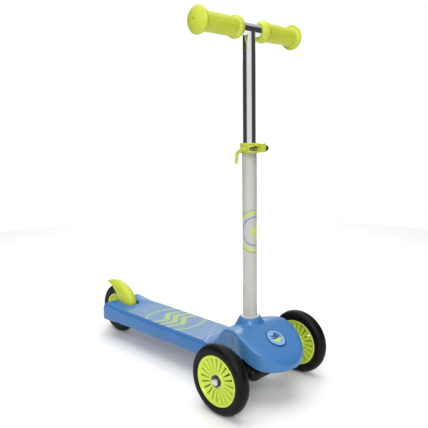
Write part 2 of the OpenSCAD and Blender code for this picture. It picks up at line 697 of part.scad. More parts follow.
module brake_fender() color([0.74, 0.8, 0.24]) difference() {
    union() {
        at_fender() fender_ring(20, fender_r, fender_w, fender_dome, tail_angle, foot_angle);
        // knuckles round the pivot pin
        at_stem() bar_x(2 * knuckle_r, -fender_w / 2, fender_w / 2, pin_y, pin_z);
        at_stem() translate([-fender_w / 2, pin_y - 1, pin_z]) cube([fender_w, 12, 8]);
    }
    // the cheeks get shallower towards the tail, which is a plain strip
    intersection() {
        at_fender() rotate([0, 90, 0]) cylinder(r = fender_r - fender_t - 1.2, h = 60, center = true, $fn = 128);
        at_stem() side_plate(70) polygon([
            [rear_axle_reach - 26, rear_axle_z + 12], [rear_axle_reach + 22, rear_axle_z + 64],
            [rear_axle_reach + 90, rear_axle_z + 64], [rear_axle_reach + 90, 0], [rear_axle_reach - 26, 0]]);
    }
    at_stem() translate([-30, pin_y + knuckle_r + 1, pin_z - 60]) cube([60, 60, 59]);
    // room for the tyre
    at_fender() fender_ring(0, fender_r - fender_t, fender_w - 2 * skirt_t, fender_dome - 1, 0, 360);
    at_stem() bar_x(brake_pin_d + 2 * run_gap, -30, 30, pin_y, pin_z);
    at_stem() translate([-6.5, pin_y - 20, pin_z - 10]) cube([13, 27, 19]);
}

module brake_pin() color([0.75, 0.76, 0.78]) at_stem()
    bar_x(brake_pin_d, -slot_w / 2 - 8, slot_w / 2 + 8, pin_y, pin_z);

// Torsion spring as one swept wire: a coil round the pin and two straight legs
spring_r = brake_pin_d / 2 + 0.4 + spring_wire / 2;
spring_turn = 1.9;
function spring_path() = concat(
    [[-spring_coils * spring_turn / 2, spring_r, 8]],
    [for (i = [0 : 12 * spring_coils]) let (a = i * 30)
        [-spring_coils * spring_turn / 2 + i * spring_turn / 12, spring_r * cos(a), -spring_r * sin(a)]],
    [[spring_coils * spring_turn / 2, spring_r, 6]]);

function tube_points(path, r, n) = [for (i = [0 : len(path) - 1])
    let (d = path[min(i + 1, len(path) - 1)] - path[max(i - 1, 0)],
         u = d / norm(d),
         v0 = cross(u, abs(u[0]) < 0.9 ? [1, 0, 0] : [0, 1, 0]),
         v = v0 / norm(v0), w = cross(u, v))
    for (k = [0 : n - 1]) path[i] + r * (cos(k * 360 / n) * v + sin(k * 360 / n) * w)];

function tube_faces(rings, n) = concat(
    [[for (k = [0 : n - 1]) k]],
    [for (i = [0 : rings - 2], k = [0 : n - 1])
        [i * n + k, (i + 1) * n + k, (i + 1) * n + (k + 1) % n, i * n + (k + 1) % n]],
    [[for (k = [n - 1 : -1 : 0]) (rings - 1) * n + k]]);

module brake_spring() color([0.6, 0.61, 0.63]) at_stem() translate([0, pin_y, pin_z]) {
    path = spring_path();
    polyhedron(tube_points(path, spring_wire / 2, 8), tube_faces(len(path), 8));
}

// ---------------------------------------------------------------- output

deck();
grip_sheet();
head_bracket();
bracket_screws();
head_cover();
cover_screws();
badge();
stem_ring();
outer_tube();
stem_bolt();
stem_nut();
clamp_collar();
clamp_bolt();
clamp_nut();
clamp_washer();
clamp_lever();
lever_pin();
t_bar();
tube_bush();
grip(1);  // grip_left
grip(-1);  // grip_right
truck();
axle_inserts();
kingpin();
kingpin_nut();
kingpin_washers();
cushion_upper();
cushion_lower();
at_front(1) tyre(front_r, front_tyre_depth, front_tyre_w);  // tyre_left
at_front(1) rim(front_r - front_tyre_depth, front_tyre_w, rim_slits);  // rim_left
at_front(1) bearings();  // bearings_left
at_front(1) spacer();  // spacer_left
axle_bolt(1);  // axle_bolt_left
axle_washers(1);  // washers_left
at_front(-1) tyre(front_r, front_tyre_depth, front_tyre_w);  // tyre_right
at_front(-1) rim(front_r - front_tyre_depth, front_tyre_w, rim_slits);  // rim_right
at_front(-1) bearings();  // bearings_right
at_front(-1) spacer();  // spacer_right
axle_bolt(-1);  // axle_bolt_right
axle_washers(-1);  // washers_right
at_rear() tyre(rear_r, rear_tyre_depth, rear_tyre_w);  // tyre_rear
at_rear() rim(rear_r - rear_tyre_depth, rear_tyre_w, rim_slits);  // rim_rear
at_rear() bearings();  // bearings_rear
at_rear() spacer();  // spacer_rear
rear_axle();
rear_washers();
rear_caps();
rear_cap_screws();
brake_fender();
brake_pin();
brake_spring();
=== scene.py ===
"""Kick scooter for a small child: the looks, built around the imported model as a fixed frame."""

import math

import bmesh
import bpy
from mathutils import Matrix, Vector


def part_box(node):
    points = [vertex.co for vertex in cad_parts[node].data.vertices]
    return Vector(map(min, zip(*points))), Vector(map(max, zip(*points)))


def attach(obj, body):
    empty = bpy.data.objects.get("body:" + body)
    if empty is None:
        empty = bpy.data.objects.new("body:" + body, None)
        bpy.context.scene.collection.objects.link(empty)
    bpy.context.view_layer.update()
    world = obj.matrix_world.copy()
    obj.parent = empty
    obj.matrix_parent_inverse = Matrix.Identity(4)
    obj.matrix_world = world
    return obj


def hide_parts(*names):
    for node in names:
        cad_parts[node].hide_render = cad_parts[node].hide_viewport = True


bl_info = {
    "name": "Kick Scooter Looks",
    "version": (1, 0, 0),
    "blender": (4, 5, 0),
    "location": "View3D > Sidebar > Scooter",
    "description": "Models the moulded, soft and printed pieces of a small child's kick scooter",
    "category": "Object",
}

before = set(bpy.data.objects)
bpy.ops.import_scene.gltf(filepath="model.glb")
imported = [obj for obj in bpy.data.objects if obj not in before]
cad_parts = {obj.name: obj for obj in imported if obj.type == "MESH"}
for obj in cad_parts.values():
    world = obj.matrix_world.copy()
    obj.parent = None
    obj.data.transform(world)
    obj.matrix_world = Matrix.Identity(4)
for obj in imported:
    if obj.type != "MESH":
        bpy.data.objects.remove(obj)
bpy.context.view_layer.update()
MM = 0.001


def middle(node):
    """The middle of a CAD node's box."""
    low, high = (Vector(corner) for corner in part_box(node))
    return (low + high) / 2


def low_high(node, axis):
    """The lowest and highest coordinate of a CAD node along one axis."""
    low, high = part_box(node)
    return low[axis], high[axis]


def half_span(node, axis):
    """Half of a CAD node's size along one axis."""
    low, high = low_high(node, axis)
    return (high - low) / 2


STEM = middle("outer_tube")
DECK_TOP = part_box("grip_sheet")[0][2]
BAR_Z = middle("grip_left").z
GRIP_START, GRIP_END = low_high("grip_left", 0)


# ------------------------------------------------------------------ sizes and colours


class ScooterSizes(bpy.types.PropertyGroup):
    """Sizes that the looks use and the frame does not hold."""

    hood_wall: bpy.props.FloatProperty(
        name="Hood wall", description="Thickness of the head cover", default=3 * MM, unit="LENGTH")
    rim_vanes: bpy.props.IntProperty(
        name="Rim vanes", description="Vanes round each rim, with a slit between each two", default=20, min=8)
    grip_rows: bpy.props.IntProperty(
        name="Grip rows", description="Rows of raised ovals round a grip", default=14, min=6)
    grip_bumps: bpy.props.IntProperty(
        name="Grip bumps", description="Raised ovals along a grip", default=9, min=4)
    edge_round: bpy.props.FloatProperty(
        name="Deck edge", description="Radius on the deck's outer edges", default=6.5 * MM, unit="LENGTH")


class ScooterColours(bpy.types.PropertyGroup):
    """Base colours of the finishes."""

    deck: bpy.props.FloatVectorProperty(
        name="Deck", description="Moulded blue of the deck", subtype="COLOR", default=(0.030, 0.150, 0.40))
    hood: bpy.props.FloatVectorProperty(
        name="Hood", description="Moulded blue of the head cover", subtype="COLOR",
        default=(0.045, 0.175, 0.42))
    pad: bpy.props.FloatVectorProperty(
        name="Pad", description="Pale blue of the grip sheet", subtype="COLOR", default=(0.125, 0.225, 0.385))
    lime: bpy.props.FloatVectorProperty(
        name="Lime", description="Lime of the grips, clamp and brake", subtype="COLOR",
        default=(0.50, 0.57, 0.045))
    rim: bpy.props.FloatVectorProperty(
        name="Rim", description="Bright lime of the rims", subtype="COLOR", default=(0.53, 0.66, 0.05))
    tube: bpy.props.FloatVectorProperty(
        name="Tube", description="Paint of the lower tube", subtype="COLOR", default=(0.48, 0.48, 0.435))
    navy: bpy.props.FloatVectorProperty(
        name="Navy", description="Dark print on the badge", subtype="COLOR", default=(0.012, 0.04, 0.16))


# ------------------------------------------------------------------ material tools


class Nodes:
    """Short calls that add and link nodes in one tree."""

    def __init__(self, tree):
        self.tree = tree

    def node(self, kind, **values):
        made = self.tree.nodes.new(kind)
        for key, value in values.items():
            setattr(made, key, value)
        return made

    def link(self, source, target):
        if isinstance(source, (int, float)):
            target.default_value = source
        elif isinstance(source, tuple):
            target.default_value = (*source[:3], 1) if len(target.default_value) == 4 else source
        else:
            self.tree.links.new(source, target)

    def math(self, operation, a, b=0.0, clamp=False):
        made = self.node("ShaderNodeMath", operation=operation, use_clamp=clamp)
        self.link(a, made.inputs[0])
        self.link(b, made.inputs[1])
        return made.outputs[0]

    def parts(self, vector):
        made = self.node("ShaderNodeSeparateXYZ")
        self.link(vector, made.inputs[0])
        return made.outputs

    def ramp(self, value, low, high, start=0.0, end=1.0):
        """value from low..high mapped to start..end, held at both ends."""
        made = self.node("ShaderNodeMapRange")
        self.link(value, made.inputs["Value"])
        for key, number in (("From Min", low), ("From Max", high), ("To Min", start), ("To Max", end)):
            self.link(number, made.inputs[key])
        return made.outputs[0]


class Finish(Nodes):
    """A node material under construction: its shader, its object coordinates and short node calls."""

    def __init__(self, name, colour, roughness, metallic=0.0, coat=0.0, specular=0.5):
        self.material = bpy.data.materials.new(f"{name}_finish")
        self.material.use_nodes = True
        self.material.diffuse_color = (*colour[:3], 1)
        super().__init__(self.material.node_tree)
        self.shader = self.tree.nodes["Principled BSDF"]
        self.colour = tuple(colour[:3])
        self.set("Base Color", (*self.colour, 1))
        self.set("Roughness", roughness)
        self.set("Metallic", metallic)
        self.set("Coat Weight", coat)
        self.set("Specular IOR Level", specular)
        self.place = self.node("ShaderNodeTexCoord").outputs["Object"]

    def set(self, socket, value):
        self.shader.inputs[socket].default_value = value

    def moved(self, centre, turn=(0, 0, 0), scale=(1, 1, 1)):
        """Object coordinates centred on a point, then turned and scaled."""
        shift = self.node("ShaderNodeMapping")
        shift.inputs["Location"].default_value = [-c for c in centre]
        self.link(self.place, shift.inputs["Vector"])
        turned = self.node("ShaderNodeMapping")
        turned.inputs["Rotation"].default_value = turn
        turned.inputs["Scale"].default_value = scale
        self.link(shift.outputs[0], turned.inputs["Vector"])
        return turned.outputs[0]

    def noise(self, scale, detail=3.0, rough=0.5, vector=None):
        made = self.node("ShaderNodeTexNoise")
        made.inputs["Scale"].default_value = scale
        made.inputs["Detail"].default_value = detail
        made.inputs["Roughness"].default_value = rough
        self.link(vector if vector is not None else self.place, made.inputs["Vector"])
        return made.outputs["Fac"]

    def mix(self, factor, a, b):
        made = self.node("ShaderNodeMix", data_type="RGBA")
        self.link(factor, made.inputs["Factor"])
        self.link(a, made.inputs["A"])
        self.link(b, made.inputs["B"])
        return made.outputs["Result"]

    def band(self, value, low, high, soft):
        """1 where value lies between low and high, with soft edges."""
        rise = self.ramp(value, low - soft, low + soft)
        fall = self.ramp(value, high - soft, high + soft, 1, 0)
        return self.math("MULTIPLY", rise, fall)

    def tint(self, amount, scale=9.0):
        """The base colour with a slow drift in brightness, as moulded plastic has."""
        darker = tuple(c * (1 - amount) for c in self.colour)
        lighter = tuple(min(1, c * (1 + amount)) for c in self.colour)
        return self.mix(self.ramp(self.noise(scale, 2), 0.3, 0.7), darker, lighter)

    def bump(self, height, strength, distance):
        made = self.node("ShaderNodeBump")
        made.inputs["Strength"].default_value = strength
        made.inputs["Distance"].default_value = distance
        self.link(height, made.inputs["Height"])
        self.link(made.outputs[0], self.shader.inputs["Normal"])

    def rough(self, value):
        self.link(value, self.shader.inputs["Roughness"])

    def paint(self, value):
        self.link(value, self.shader.inputs["Base Color"])
        return self.material


def moulded(name, colour, roughness=0.32, grain=900, depth=0.05, drift=0.06, coat=0.1, specular=0.4):
    """Injection-moulded plastic: slow colour drift, fine grain and faint handling marks in the gloss."""
    f = Finish(name, colour, roughness, coat=coat, specular=specular)
    marks = f.noise(55, 6, 0.65)
    f.rough(f.ramp(marks, 0.25, 0.8, roughness * 0.85, roughness * 1.3))
    f.bump(f.noise(grain, 2, 0.6), depth, 0.0002)
    return f.paint(f.tint(drift))


def rubber(name, colour, roughness=0.55, grain=1500, depth=0.15):
    """Soft elastomer: matt, with a fine even grain."""
    f = Finish(name, colour, roughness, specular=0.4)
    f.rough(f.ramp(f.noise(80, 5, 0.6), 0.3, 0.75, roughness * 0.85, min(1, roughness * 1.15)))
    f.bump(f.noise(grain, 3, 0.6), depth, 0.0002)
    return f.paint(f.tint(0.08, 14))


def metal(name, colour, roughness=0.25, stretch=(1, 1, 1), depth=0.04):
    """Turned or plated steel with fine marks along one direction."""
    f = Finish(name, colour, roughness, metallic=1.0)
    marks = f.noise(700, 3, 0.6, f.moved((0, 0, 0), scale=stretch))
    f.rough(f.ramp(marks, 0.3, 0.7, roughness * 0.75, roughness * 1.35))
    f.bump(marks, depth, 0.0001)
    return f.paint(f.tint(0.05, 30))


def chrome():
    """Bright plating with faint wiping marks."""
    f = Finish("bright_chrome", (0.80, 0.81, 0.83), 0.07, metallic=1.0)
    f.rough(f.ramp(f.noise(40, 6, 0.7), 0.35, 0.8, 0.05, 0.12))
    f.bump(f.noise(25, 2), 0.015, 0.001)
    return f.paint(f.tint(0.02, 20))


def tube_paint(colours):
    """Warm grey paint with a printed target wrapped round the front of the tube."""
    f = Finish("tube_paint", colours.tube, 0.3, coat=0.3)
    x, y, z = f.parts(f.moved((STEM.x, STEM.y, low_high("outer_tube", 2)[0] + 208 * MM)))
    tube_r = half_span("outer_tube", 0)
    round_way = f.math("MULTIPLY", f.math("ARCTAN2", x, f.math("MULTIPLY", y, -1.0)), tube_r)
    away = f.math("SQRT", f.math("ADD", f.math("MULTIPLY", round_way, round_way), f.math("MULTIPLY", z, z)))
    base = f.tint(0.03, 25)
    shade = f.mix(f.band(away, 37.2 * MM, 38.4 * MM, 0.25 * MM), base, (0.13, 0.22, 0.33))
    shade = f.mix(f.band(away, 31 * MM, 36.4 * MM, 0.3 * MM), shade, (0.47, 0.60, 0.12))
    shade = f.mix(f.band(away, 24 * MM, 26.5 * MM, 0.3 * MM), shade, (0.12, 0.26, 0.48))
    shade = f.mix(f.band(away, 0, 9 * MM, 0.3 * MM), shade, (0.47, 0.60, 0.12))
    f.rough(f.ramp(f.noise(60, 5, 0.6), 0.3, 0.8, 0.26, 0.4))
    f.bump(f.noise(500, 2), 0.05, 0.0002)
    return f.paint(shade)


def waves(f, u, v, reach, thick):
    """A mask of three swelling brush waves inside a round field of the given reach."""
    masks = []
    for row in (-1, 0, 1):
        swing = f.math("MULTIPLY", f.math("SINE", f.math("MULTIPLY", u, 5.2 / reach)), 0.16 * reach)
        offset = f.math("ADD", f.math("SUBTRACT", v, swing), -row * 0.42 * reach)
        width = f.math("MULTIPLY", f.math("COSINE", f.math("MULTIPLY", u, 1.35 / reach)), thick)
        masks.append(f.math("GREATER_THAN", width, f.math("ABSOLUTE", offset)))
    joined = f.math("MAXIMUM", f.math("MAXIMUM", masks[0], masks[1]), masks[2])
    away = f.math("SQRT", f.math("ADD", f.math("MULTIPLY", u, u), f.math("MULTIPLY", v, v)))
    return f.math("MULTIPLY", joined, f.math("LESS_THAN", away, reach)), away


def pad_print(colours):
    """Grip sheet: pale blue with a lime ring round three lime waves, over a fine anti-slip grain."""
    f = Finish("pad_print", colours.pad, 0.5)
    centre = (0, STEM.y + 208 * MM, DECK_TOP)
    ink = (0.36, 0.50, 0.10)
    u, v, _ = f.parts(f.moved(centre, (0, 0, math.radians(-12))))
    mark, away = waves(f, u, v, 50 * MM, 7.5 * MM)
    ring = f.band(away, 60 * MM, 65 * MM, 0.5 * MM)
    lighter = tuple(min(1, c * 1.12) for c in colours.pad)
    shade = f.mix(f.ramp(f.noise(18, 3), 0.35, 0.7), colours.pad[:], lighter)
    shade = f.mix(f.math("MULTIPLY", mark, 0.8), shade, ink)
    shade = f.mix(f.math("MULTIPLY", ring, 0.75), shade, ink)
    f.rough(f.ramp(f.noise(90, 4), 0.3, 0.75, 0.42, 0.6))
    f.bump(f.noise(1300, 2, 0.5), 0.35, 0.0003)
    return f.paint(shade)


def badge_print(colours, centre, tilt):
    """Domed sticker: navy ring round a light-blue field with small waves."""
    f = Finish("badge_print", (0.16, 0.36, 0.66), 0.18, coat=0.6)
    u, v, _ = f.parts(f.moved(centre, (-tilt, 0, 0)))
    mark, away = waves(f, u, v, 13 * MM, 2.6 * MM)
    shade = f.mix(f.ramp(f.noise(60, 2), 0.3, 0.7), (0.13, 0.32, 0.62), (0.20, 0.42, 0.74))
    shade = f.mix(mark, shade, colours.navy[:])
    lime_part = f.math("MULTIPLY", mark, f.math("LESS_THAN", v, -2.5 * MM))
    shade = f.mix(lime_part, shade, (0.50, 0.62, 0.08))
    shade = f.mix(f.band(away, 17.2 * MM, 22 * MM, 0.2 * MM), shade, colours.navy[:])
    return f.paint(shade)


def tyre_rubber():
    """Cast black tyre: satin, with a fine grain and a little dust."""
    f = Finish("tyre_black", (0.006, 0.006, 0.006), 0.45, specular=0.14)
    f.rough(f.ramp(f.noise(70, 5, 0.6), 0.3, 0.75, 0.34, 0.55))
    f.bump(f.noise(1100, 3, 0.6), 0.12, 0.0002)
    dust = f.ramp(f.noise(35, 4), 0.35, 0.8)
    return f.paint(f.mix(dust, (0.0022, 0.0022, 0.0022), (0.006, 0.0055, 0.0055)))


def make_materials(scene):
    """Every finish but the badge's, which needs the badge's place."""
    c = scene.scooter_colours
    near_black = (0.006, 0.006, 0.006)
    moulded("deck_blue", c.deck, 0.34)
    moulded("hood_blue", c.hood, 0.30)
    pad_print(c)
    moulded("lime_plastic", c.lime, 0.36)
    rubber("grip_lime", c.lime, 0.5)
    moulded("rim_lime", c.rim, 0.3)
    tyre_rubber()
    chrome()
    tube_paint(c)
    metal("zinc_steel", (0.60, 0.60, 0.62), 0.28)
    moulded("black_plastic", near_black, 0.42, drift=0.2, coat=0.0, specular=0.16)
    # painted shade: the washers' near-black steel stands in for the shade in each wheel's hub recess round
    # the bolt head
    metal("recess_shade_steel", (0.07, 0.065, 0.06), 0.35)
    moulded("pale_ring", (0.60, 0.62, 0.60), 0.35)
    rubber("cushion_rubber", (0.55, 0.55, 0.50), 0.45)
    metal("turned_brass", (0.70, 0.50, 0.20), 0.3)


def material(name):
    return bpy.data.materials[f"{name}_finish"]


def wear(obj, name):
    """Gives an object one material."""
    obj.data.materials.clear()
    obj.data.materials.append(material(name))


# ------------------------------------------------------------------ modelling tools


def deselect():
    if bpy.context.mode != "OBJECT":
        bpy.ops.object.mode_set(mode="OBJECT")
    bpy.ops.object.select_all(action="DESELECT")


def activate(obj):
    deselect()
    obj.select_set(True)
    bpy.context.view_layer.objects.active = obj


def apply_modifier(obj, name, kind, **values):
    activate(obj)
    made = obj.modifiers.new(name, kind)
    for key, value in values.items():
        setattr(made, key, value)
    bpy.ops.object.modifier_apply(modifier=made.name)


def boolean(obj, cutter, operation="DIFFERENCE"):
    apply_modifier(obj, "cut", "BOOLEAN", object=cutter, operation=operation, solver="EXACT")
    bpy.data.objects.remove(cutter)


def smooth(obj, angle=35):
    activate(obj)
    bpy.ops.object.shade_smooth_by_angle(angle=math.radians(angle))


def merge(obj, distance=0.00001, outward=True):
    """Merges doubles and turns every face outwards."""
    activate(obj)
    bpy.ops.object.mode_set(mode="EDIT")
    bpy.ops.mesh.select_all(action="SELECT")
    bpy.ops.mesh.remove_doubles(threshold=distance)
    if outward:
        bpy.ops.mesh.normals_make_consistent(inside=False)
    bpy.ops.object.mode_set(mode="OBJECT")


def from_node(node, name):
    """A new object with a merged copy of a CAD node's mesh."""
    obj = bpy.data.objects.new(name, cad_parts[node].data.copy())
    bpy.context.scene.collection.objects.link(obj)
    merge(obj, outward=False)
    return obj


def soften(obj, voxel, rounds):
    """Rounds every edge and blend: the solid is remeshed finely, then relaxed."""
    apply_modifier(obj, "fine", "REMESH", mode="VOXEL", voxel_size=voxel)
    apply_modifier(obj, "relax", "SMOOTH", factor=0.5, iterations=rounds)
    smooth(obj, 60)


def at_origin(obj):
    """Bakes the object's place into its mesh."""
    activate(obj)
    bpy.ops.object.transform_apply(location=True, rotation=True, scale=True)
    return obj


def piece(obj, name, finish, body, slot, *nodes):
    """Names a finished piece, gives it its finish and says which body carries it."""
    obj.name = name
    obj.data.name = name
    at_origin(obj)
    wear(obj, finish)
    if nodes:
        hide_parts(*nodes)
    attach(obj, body)
    return obj


def add_line(points, name="line"):
    """An open row of vertices at the given points, in edit mode and all selected."""
    obj = add_loop(points, name)
    mesh = bmesh.from_edit_mesh(obj.data)
    mesh.verts.ensure_lookup_table()
    last, first = mesh.verts[-1], mesh.verts[0]
    mesh.edges.remove(mesh.edges.get((last, first)))
    bmesh.update_edit_mesh(obj.data)
    return obj


def add_loop(points, name="loop", fill="NOTHING"):
    """A ring of vertices at the given points, in edit mode and all selected."""
    deselect()
    bpy.ops.mesh.primitive_circle_add(vertices=len(points), radius=1, fill_type=fill)
    obj = bpy.context.active_object
    obj.name = name
    for vertex, point in zip(obj.data.vertices, points):
        vertex.co = point
    bpy.ops.object.mode_set(mode="EDIT")
    bpy.ops.mesh.select_all(action="SELECT")
    return obj


def loft(rings, name, closed_ends=False, strip=False):
    """A skin over rings of equal length: a ring of vertices extruded and set at each next ring."""
    obj = add_line(rings[0], name) if strip else add_loop(rings[0], name)
    mesh = bmesh.from_edit_mesh(obj.data)
    order = mesh.verts.layers.int.new("order")
    for index, vertex in enumerate(mesh.verts):
        vertex[order] = index
    if closed_ends:
        bpy.ops.mesh.edge_face_add()
        mesh = bmesh.from_edit_mesh(obj.data)
        for face in mesh.faces:
            face.select_set(False)
        for edge in mesh.edges:
            edge.select_set(True)
        bmesh.update_edit_mesh(obj.data)
        bpy.context.tool_settings.mesh_select_mode = (False, True, False)
    for ring in rings[1:]:
        bpy.ops.mesh.extrude_edges_move()
        mesh = bmesh.from_edit_mesh(obj.data)
        order = mesh.verts.layers.int["order"]
        for vertex in mesh.verts:
            if vertex.select:
                vertex.co = ring[vertex[order]]
        bmesh.update_edit_mesh(obj.data)
    if closed_ends:
        bpy.ops.mesh.edge_face_add()
    bpy.ops.object.mode_set(mode="OBJECT")
    bpy.context.tool_settings.mesh_select_mode = (True, False, False)
    return obj


def spun(profile, centre, axis, steps=96, name="spun"):
    """A turned piece: the closed profile of (distance along the axis, radius) spun round the axis."""
    axis = Vector(axis).normalized()
    out = Vector((0, 0, 1)) if abs(axis.z) < 0.5 else Vector((1, 0, 0))
    out = (out - axis * out.dot(axis)).normalized()
    centre = Vector(centre)
    obj = add_loop([centre + axis * along + out * radius for along, radius in profile], name)
    bpy.ops.mesh.spin(steps=steps, angle=math.tau, center=centre, axis=axis)
    bpy.ops.object.mode_set(mode="OBJECT")
    merge(obj)
    return obj


def arc(cx, cy, radius, start, end, steps):
    """Points on an arc, in degrees."""
    angles = [math.radians(start + (end - start) * i / steps) for i in range(steps + 1)]
    return [(cx + radius * math.cos(a), cy + radius * math.sin(a)) for a in angles]


def smoothstep(low, high, value):
    t = min(1, max(0, (value - low) / (high - low)))
    return t * t * (3 - 2 * t)


def lerp(a, b, t):
    return a + (b - a) * t


# ------------------------------------------------------------------ head cover


def along(points, where):
    """Height at a place on a line of (place, height) points, straight from point to point."""
    for (x0, y0), (x1, y1) in zip(points, points[1:]):
        if where <= x1:
            return lerp(y0, y1, max(0, (where - x0) / (x1 - x0)))
    return points[-1][1]


class HoodShape:
    """The head cover's outer surface, in millimetres from the stem's axis and the floor."""

    top_z = DECK_TOP / MM
    half_width = 65
    length = 60
    centre_y = -42
    back_half_width = 47.6
    foot_r = 92
    # (radius, height) round the stem
    collar = ((16.2, 129.5), (16.2, 132.2), (17.0, 133.2), (18.4, 132.4), (20.4, 129.6), (22.2, 126.6),
              (23.4, 123.8), (24.6, 122.0))
    # height above the deck of the sweep, by distance from the stem: straight back, and to the sides
    sweep_back = ((24, 45), (27, 40.5), (30, 36.5), (35, 31), (40, 26.5), (45, 22.5), (50, 19), (55, 15),
                  (60, 11), (65, 7.5), (70, 4.8), (76, 2.6), (84, 1.0), (92, 0.3))
    sweep_side = ((24, 46.5), (29, 43.5), (35, 42), (45, 41), (50.5, 39), (53.5, 33.5), (56.8, 25.5),
                  (59.3, 17), (63, 10.6), (68, 6), (76, 3), (84, 1.2), (92, 0.3))
    # (share of the way from the collar to the outline, drop below the upper surface in front)
    upper_rings = ((0.03, 0.5), (0.12, 0), (0.25, 0), (0.4, 0), (0.55, 0), (0.7, 0), (0.82, 0), (0.91, 0.2),
                   (0.965, 1.2), (0.99, 3.6))
    # (share of the way down the side wall, size of its plan in front)
    wall_rings = ((0.25, 1.0), (0.55, 1.002), (0.85, 0.996), (1.0, 0.984))
    # height of the lower edge, by place along Y
    edge = ((-102, 63.5), (-88, 64), (-77, 65.5), (-66, 68.5), (-54, 74), (-42, 79.5), (-30, 84), (-4, 84))

    def outline(self, turn):
        """Plan of the lower edge; turn 0 is the child's left, 90 degrees is the back."""
        c, s = math.cos(turn), math.sin(turn)
        if s <= 0:
            return self.half_width * c, self.centre_y + self.length * s
        x = self.half_width * math.copysign(abs(c) ** 0.55, c)
        y = self.centre_y + (self.foot_r - self.centre_y) * s ** 0.92
        limit = lerp(self.half_width, self.back_half_width, smoothstep(-34, 14, y))
        x = max(-limit, min(limit, x))
        return x, min(y, math.sqrt(self.foot_r ** 2 - x * x))

    def top(self, x, y):
        """Height of the upper surface: a domed plate in front, a sweep behind."""
        middle_z = 122.5 - 15.9 * (max(0, -y - 15) / 45) ** 1.6
        shoulder_z = min(119.5, 113.5 + 0.56 * (y - self.centre_y))
        plate = lerp(middle_z, shoulder_z, min(1, abs(x) / self.half_width) ** 2.6)
        away = math.hypot(x, y)
        sideways = smoothstep(0.4, 0.95, abs(x) / away)
        swept = lerp(along(self.sweep_back, away), along(self.sweep_side, away), sideways)
        return lerp(plate, self.top_z + swept, smoothstep(-14, 16, y))

    def foot(self, y):
        """Height of the lower edge, which stands on the deck behind the front axle."""
        return lerp(along(self.edge, y), self.top_z + 0.3, smoothstep(-6, 8, y))


def hood_rings(shape, count=80):
    turns = [math.tau * i / count for i in range(count)]
    rings = [[(r * math.cos(t), r * math.sin(t), z) for t in turns] for r, z in shape.collar]
    inner = shape.collar[-1][0] + 0.8
    for share, drop in shape.upper_rings:
        ring = []
        for t in turns:
            ox, oy = shape.outline(t)
            x = lerp(inner * math.cos(t), ox, share)
            y = lerp(inner * math.sin(t), oy, share)
            sunk = drop * (1 - smoothstep(-20, 20, y))
            ring.append((x, y, max(shape.top(x, y) - sunk, shape.foot(oy) + 0.4)))
        rings.append(ring)
    shoulder = rings[-1]
    for share, swell in shape.wall_rings:
        ring = []
        for (_, _, top), t in zip(shoulder, turns):
            x, y = shape.outline(t)
            grow = lerp(swell, 1, smoothstep(-20, 10, y))
            grown_y = shape.centre_y + (y - shape.centre_y) * grow
            ring.append((x * grow, grown_y, lerp(top, shape.foot(y), share)))
        rings.append(ring)
    return [[Vector((x * MM, y * MM + STEM.y, z * MM)) for x, y, z in ring] for ring in rings]


class SCOOTER_OT_hood(bpy.types.Operator):
    """Model the head cover: one smooth shell swept from its collar out to the nose, wheels and deck"""

    bl_idname = "scooter.hood"
    bl_label = "Head cover"

    def execute(self, context):
        sizes = context.scene.scooter_sizes
        hood = loft(hood_rings(HoodShape()), "hood_shell")
        merge(hood)
        apply_modifier(hood, "wall", "SOLIDIFY", thickness=sizes.hood_wall, offset=-1.0)
        apply_modifier(hood, "round", "SUBSURF", levels=1, render_levels=1)
        smooth(hood, 50)
        piece(hood, "hood_shell", "hood_blue", "frame", "hood_blue", "head_cover")
        return {"FINISHED"}


class SCOOTER_OT_badge(bpy.types.Operator):
    """Model the badge: a thin disc with a crowned face, set into the head cover's plate"""

    bl_idname = "scooter.badge"
    bl_label = "Badge"

    def execute(self, context):
        shape = HoodShape()
        # the badge's place in front of the stem, and the reach over which its slope is taken
        y, step = -60, 4
        tilt = math.atan2(shape.top(0, y + step) - shape.top(0, y - step), 2 * step)
        centre = Vector((0, STEM.y + y * MM, shape.top(0, y) * MM))
        radius = half_span("badge", 0)
        crown = [(-1.2 * MM, 0), (-1.2 * MM, radius), (0.5 * MM, radius), (0.9 * MM, radius - 0.5 * MM)]
        crown += [((0.9 + 1.0 * (1 - share ** 2)) * MM, radius * share * 0.95)
                  for share in (0.9, 0.7, 0.5, 0.3, 0.1, 0)]
        disc = spun(crown, centre, (0, -math.sin(tilt), math.cos(tilt)), 96)
        badge_print(context.scene.scooter_colours, centre, tilt)
        smooth(disc, 30)
        piece(disc, "badge_disc", "badge_print", "frame", "badge_print", "badge")
        return {"FINISHED"}


# ------------------------------------------------------------------ deck


